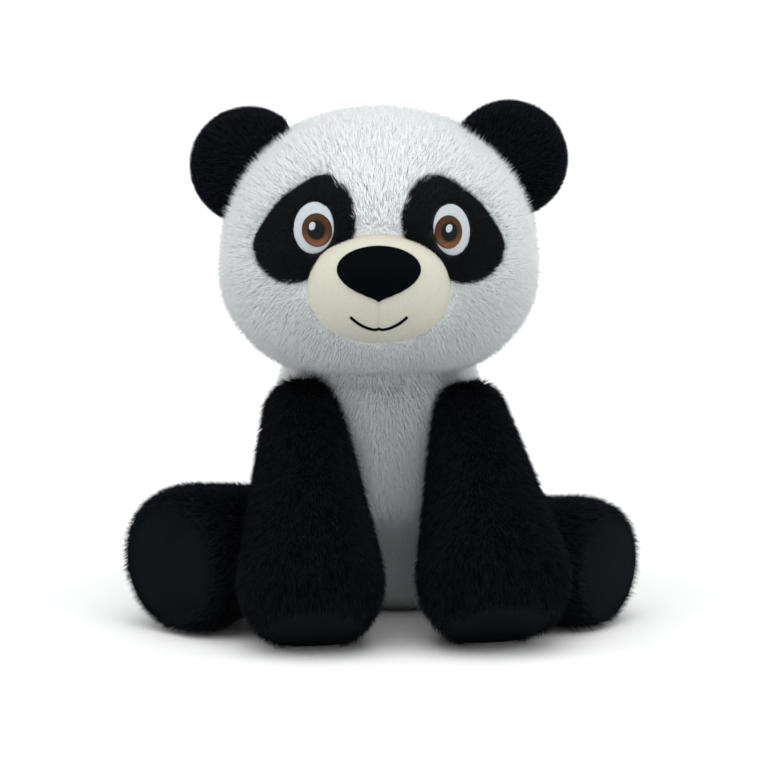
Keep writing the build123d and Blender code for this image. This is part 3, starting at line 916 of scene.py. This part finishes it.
# ---- Torso and neck ----
# A pear of white plush: a tummy panel, two back panels and a seat, stuffed, with a pouch of pellets low down.
# The neck is a plug of the same plush that the head turns on.
def limb_depth(points, limb):
    """How far inside a limb each point lies."""
    origin, along, root, tip, length = limb[:5]
    offset = points - np.array(origin)
    travel = offset @ np.array(along)
    share = np.clip(travel / length, 0, 1)
    off_line = np.linalg.norm(offset - np.outer(travel, along), axis=1)
    return root + (tip - root) * share - np.hypot(off_line, travel - share * length)


arm_shift = {"left": Vector((4.0, 0, 3.0)) * mm, "right": Vector((3.0, 0, 3.0)) * mm}
leg_shift = {"left": Vector((1, -8, -1.5)) * mm, "right": Vector((1, -7, 2.5)) * mm}
arm_sizes = {"left": (15.5, 32.5), "right": (16.5, 31.0)}
leg_sizes = {"left": (22.5, 28.5), "right": (24.0, 32.0)}
arm_lean = {"left": (33.5, 7.0), "right": (35.5, -3.0)}
arm_length = {"left": 79 * mm, "right": 82 * mm}
leg_turn = {"left": 54.0, "right": 42.0}
leg_length = {"left": 50 * mm, "right": 52 * mm}
paw_flat, sole_flat = 22 * mm, 14 * mm
limbs = {}
for side, sign in (("left", 1), ("right", -1)):
    forward, outward = (math.radians(angle) for angle in arm_lean[side])
    level = math.cos(outward)
    along = (sign * math.sin(outward), -math.sin(forward) * level, -math.cos(forward) * level)
    root, tip = (size * mm for size in arm_sizes[side])
    origin = pivots[f"arm_lift_{side}"] + arm_shift[side]
    limbs[f"arm_{side}"] = (origin, along, root, tip, arm_length[side], paw_flat)
    turn = math.radians(leg_turn[side])
    along = (sign * math.sin(turn), -math.cos(turn), 0)
    root, tip = (size * mm for size in leg_sizes[side])
    origin = pivots[f"leg_spread_{side}"] + leg_shift[side]
    limbs[f"leg_{side}"] = (origin, along, root, tip, leg_length[side], sole_flat)

torso_y = 5 * mm
torso_profile = [
    (0, 0), (0, 20), (2, 29), (8, 36), (18, 43), (32, 48), (45, 50), (62, 49.5), (80, 47.5),
    (94, 46), (105, 44.5), (115, 42), (122, 36), (126, 24), (127, 0),
]
torso_profile = even(np.array(torso_profile) * mm, 3.6 * mm)
torso = ring_cloth("torso_plush", (0, torso_y, 0.4 * mm), (0, 0, 1), torso_profile, 76)
points = points_of(torso)
front_share = smooth_step(torso_y - points[:, 1], 5 * mm, 45 * mm)
front_lift = 27 * mm
points[:, 2] += front_lift * front_share * (1 - smooth_step(points[:, 2], 0, 75 * mm))
limb_gap, dent_step, dent_rounds = 1.5 * mm, 0.7 * mm, 70
for _ in range(dent_rounds):
    for limb in limbs.values():
        inside = limb_depth(points, limb) > -limb_gap
        inward = np.stack([-points[:, 0], torso_y - points[:, 1], np.zeros(len(points))], axis=1)
        inward /= np.maximum(np.linalg.norm(inward, axis=1, keepdims=True), 1e-6)
        points += inward * (dent_step * inside)[:, None]
move_points(torso, points)


def ease(cloth, rounds):
    """Even out a cloth by drawing each point towards its neighbours."""
    work = bmesh.new()
    work.from_mesh(cloth.data)
    axes = {"use_axis_x": True, "use_axis_y": True, "use_axis_z": True}
    for _ in range(rounds):
        bmesh.ops.smooth_vert(work, verts=work.verts, factor=0.5, **axes)
    work.to_mesh(cloth.data)
    work.free()
    cloth.data.update()


ease(torso, 4)
points = points_of(torso)


def torso_seams(points):
    """Nearness to a seam of the torso, from 0 to 1."""
    x, y, z = points.T
    back = np.where(y > torso_y, np.abs(x), 1.0)
    nearest = np.minimum(np.abs(y - torso_y + 15 * mm), np.minimum(back, np.abs(z - 9 * mm)))
    return 1 - smooth_step(nearest, 1.0 * mm, 4.0 * mm)


stuff(torso, torso_seams(points), 2.0 * mm)
points = points_of(torso)
points[:, 2] = np.maximum(points[:, 2], 0.5 * mm)
move_points(torso, points)
comb = np.tile([0.0, 0.0, -1.0], (len(points), 1)) + np.outer(np.sign(points[:, 0]), [0.12, 0, 0])
pressed = np.max([limb_depth(points, limb) for limb in limbs.values()], axis=0)
pile = 1 - 0.2 * torso_seams(points)
pile *= np.where(points[:, 2] < 2.5 * mm, 0.12, 1.0)
pile *= 1 - 0.75 * smooth_step(pressed, -6 * mm, -1 * mm)
pile *= 1 - 0.3 * smooth_step(points[:, 2], 118 * mm, 126 * mm)
comb_cloth(torso, comb, pile)
torso_panels = ["tummy_panel", "back_panel_left", "back_panel_right", "seat_panel"]
dress(torso, "torso", white_backing, torso_panels)
fill_cloth(torso, "torso_stuffing", "torso", "torso_filling")
front = rows_of(torso.data.polygons, "center")[:, 1] < torso_y - 4 * mm
grow_pile(torso, "tummy_pile", "torso", 2.5e6, (8.0 * mm, 0.185 * mm), white_pair, front, seed=40)
grow_pile(torso, "back_pile", "torso", 1.7e6, (8.0 * mm, 0.215 * mm), white_pair, ~front, seed=41)

neck_low, neck_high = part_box("neck_filling")
neck_middle = (neck_low + neck_high) / 2
neck_radius, neck_half = 38 * mm, 13 * mm
turns = np.linspace(-math.pi / 2, math.pi / 2, 30)
neck_profile = [(math.sin(turn) * neck_half, abs(math.cos(turn)) ** 0.6 * neck_radius) for turn in turns]
neck_profile[0], neck_profile[-1] = (-neck_half, 0.0), (neck_half, 0.0)
neck_seat = neck_middle + Vector((0, 4 * mm, 6 * mm))
neck = ring_cloth("neck_plush", neck_seat, (0, 0, 1), even(neck_profile, 4 * mm))
points = points_of(neck)
comb = np.tile([0.0, 0.0, -1.0], (len(points), 1)) + (points - np.array(neck_middle)) * 10
upright = np.abs(normals_of(neck)[:, 2]) < 0.9
comb_cloth(neck, comb, upright * 1.0)
dress(neck, "neck", white_backing, [])
fill_cloth(neck, "neck_stuffing", "neck", "neck_filling")
grow_pile(neck, "neck_pile", "neck", 1.5e6, (6.5 * mm, 0.2 * mm), white_pair, seed=42)



def grain(finish, scale):
    """Distance from the nearest grain of a fine, even pattern."""
    sockets = {"Vector": finish.place, "Scale": scale}
    return Value(finish, finish.node("ShaderNodeTexVoronoi", {}, sockets).outputs["Distance"])


pouch_cloth = Finish("pouch_cloth", (0.75, 0.75, 0.72), 0.9)
pouch_cloth.bump(grain(pouch_cloth, 900.0), 0.6, 0.0005)
pellets = Finish("pellets", (0.8, 0.8, 0.78), 0.4)
pellets.bump(1 - grain(pellets, 330.0), 1.0, 0.0015)
for node_name, finish in (("pellet_pouch", pouch_cloth), ("pouch_pellets", pellets)):
    inner = bpy.data.objects[node_name]
    for slot in inner.material_slots:
        slot.material = finish.material


# ---- Arms and legs ----
# Each has two covers of long black pile over stuffing, closed at the end by a smooth velour pad.
# A row of stitches holds the pad's rim.
velour = Finish("black_velour", (0.002, 0.003, 0.004), 0.85, specular_ior_level=0.05)
nap = velour.noise(60.0, 5.0)
velour.set("Base Color", velour.mix(nap, (0.0006, 0.0012, 0.0018), (0.0028, 0.0046, 0.006)))
velour.bump(velour.noise(1500.0, 2.0), 0.35, 0.0004)
thread_black = (0.003, 0.0035, 0.0045)
velour_thread = thread_finish("black_thread", thread_black, 0.8, 0.5 * mm, 0.0, specular_ior_level=0.1)
pad_dome = 2.5 * mm


def limb_profile(root, tip, length, flat):
    """Outline of a limb: round root, straight flare, round tip and a slightly domed end."""
    flare = math.asin((tip - root) / length)
    end = math.acos(flat / tip)
    rim = tip * math.sin(end)
    turns = np.linspace(0, math.pi / 2 - flare, 20)
    outline = [(-root * math.cos(turn), root * math.sin(turn)) for turn in turns]
    turns = np.linspace(math.pi / 2 + flare, end, 20)
    outline += [(length + tip * math.cos(turn), tip * math.sin(turn)) for turn in turns]
    shares = np.linspace(0.95, 0.0, 8)
    outline += [(length + flat + pad_dome * math.sqrt(1 - share**2), rim * share) for share in shares]
    outline[0] = (-root, 0.0)
    outline[-1] = (length + flat + pad_dome, 0.0)
    return outline, rim


def end_pad(name, body, origin, along, reach, rim, node):
    """Domed velour disc over the end of a limb, cut off where it meets the floor, with its stitches."""
    along = Vector(along)
    side = along.orthogonal().normalized()
    other = along.cross(side)
    centre = Vector(origin) + along * reach
    rings, segments = 12, 96
    points = []
    for sunk in (False, True):
        for ring in range(rings + 1):
            share = ring / rings
            for step in range(segments if ring else 1):
                turn = 2 * math.pi * step / segments
                dome = -1.0 * mm if sunk else 1.0 * mm + 2.6 * mm * math.sqrt(max(0.0, 1 - share**2.6))
                out = (side * math.cos(turn) + other * math.sin(turn)) * rim * share
                points.append(centre + out + along * dome)
    points = np.array([tuple(point) for point in points])
    points[:, 2] = np.maximum(points[:, 2], 0.4 * mm)
    pad = mesh_object(name, points, lens_faces(rings, segments), velour)
    face_outward(pad)
    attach(pad, body)
    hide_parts(node)
    route = []
    for turn in np.linspace(0, 2 * math.pi, 121):
        out = (side * math.cos(turn) + other * math.sin(turn)) * (rim * 0.97)
        point = centre + out + along * 1.6 * mm
        route.append((point.x, point.y, max(point.z, 0.8 * mm)))
    thread_line(name + "_stitches", route, 2.2 * mm, 0.3 * mm, 0.3 * mm, velour_thread, body)


limb_density, limb_pile = {"arm": 2.25e6, "leg": 2.1e6}, (6.5 * mm, 0.193 * mm)
for seed, (body, (origin, along, root, tip, length, flat)) in enumerate(limbs.items(), 50):
    kind, side = body.split("_")
    profile, rim = limb_profile(root, tip, length, flat)
    limb = ring_cloth(f"{body}_plush", origin, along, even(profile, 3.6 * mm), 52)
    points = points_of(limb)
    pressed_flat = 1.0 * mm + (points[:, 2] - 1.5 * mm) * 0.02
    points[:, 2] = np.where(points[:, 2] < 1.5 * mm, pressed_flat, points[:, 2])
    move_points(limb, points)
    sideways = Vector(along).cross(Vector((0, 0, 1))).normalized() if kind == "arm" else Vector((0, 0, 1))
    offset = np.abs((points - np.array(origin)) @ np.array(sideways))
    seam = 1 - smooth_step(offset, 1 * mm, 4 * mm)
    travel = (points - np.array(origin)) @ np.array(along)
    seam = np.maximum(seam, smooth_step(travel, length + flat - 2 * mm, length + flat))
    stuff(limb, seam, 2.0 * mm)
    points = points_of(limb)
    points[:, 2] = np.maximum(points[:, 2], 0.8 * mm)
    move_points(limb, points)
    travel = (points - np.array(origin)) @ np.array(along)
    on_floor = (points[:, 2] < 3 * mm) & (normals_of(limb)[:, 2] < -0.5)
    pile = np.where(travel > length + flat + 0.3 * mm, 0.0, 1.0) * np.where(on_floor, 0.12, 1.0)
    comb = np.tile(np.array(along), (len(points), 1)) + np.array([0, 0, -0.25])
    comb_cloth(limb, comb, pile)
    names = ("front", "back") if kind == "arm" else ("top", "under")
    dress(limb, body, black_backing, [f"{kind}_{name}_{side}" for name in names])
    fill_cloth(limb, f"{body}_stuffing", body, f"{kind}_filling_{side}")
    grow_pile(limb, f"{body}_pile", body, limb_density[kind], limb_pile, black_pair, seed=seed)
    pad_node = f"paw_pad_{side}" if kind == "arm" else f"foot_sole_{side}"
    end_pad(f"{body}_pad", body, origin, along, length + flat, rim, pad_node)


# ---- Tail and care label ----
# A small stuffed ball of white plush sewn low on the back, and a satin tape folded out of the seat seam.
tail_rise = math.radians(20.0)
tail_along = (0, math.cos(tail_rise), math.sin(tail_rise))
profile, _ = limb_profile(6.5 * mm, 10.5 * mm, 16 * mm, 10.4 * mm)
tail = ring_cloth("tail_plush", pivots["tail_wag"], tail_along, even(profile, 2.4 * mm), 36)
stuff(tail, np.zeros(len(tail.data.vertices)), 1.0 * mm)
tail_points = len(tail.data.vertices)
comb_cloth(tail, np.tile(np.array(tail_along), (tail_points, 1)), np.ones(tail_points))
dress(tail, "tail", white_backing, ["tail_cover"])
fill_cloth(tail, "tail_stuffing", "tail", "tail_filling")
grow_pile(tail, "tail_pile", "tail", 3.0e6, (5.5 * mm, 0.17 * mm), white_pair, seed=60)

tape = Finish("label_tape", (0.84, 0.84, 0.82), 0.45, sheen_weight=0.2)
sockets = {"Vector": tape.place, "Scale": math.pi / (10 * 0.35 * mm)}
ribs = Value(tape, tape.node("ShaderNodeTexWave", {"bands_direction": "Y"}, sockets).outputs["Fac"])
tape.set("Base Color", tape.mix(ribs * 0.3, (0.86, 0.86, 0.84), (0.7, 0.7, 0.68)))
tape.bump(ribs, 0.4, 0.0002)
label_low, label_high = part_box("care_label")
label_width, label_length = label_high.x - label_low.x, label_high.y - label_low.y
across_steps, along_steps = 9, 31
label_points, label_faces = [], []
for step in range(along_steps):
    travelled = label_length * step / (along_steps - 1)
    lift = 0.5 * mm + 0.25 * mm * (1 + math.sin(travelled / label_length * 5))
    for across in range(across_steps):
        share = across / (across_steps - 1)
        label_points.append((label_low.x + label_width * share, label_low.y + travelled, lift))
for step in range(along_steps - 1):
    for across in range(across_steps - 1):
        a = step * across_steps + across
        label_faces.append((a, a + 1, a + 1 + across_steps, a + across_steps))
label = mesh_object("care_label_tape", label_points, label_faces, tape)
thick = label.modifiers.new("tape", "SOLIDIFY")
thick.thickness = 0.25 * mm
apply_modifiers(label)
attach(label, "torso")
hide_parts("care_label")
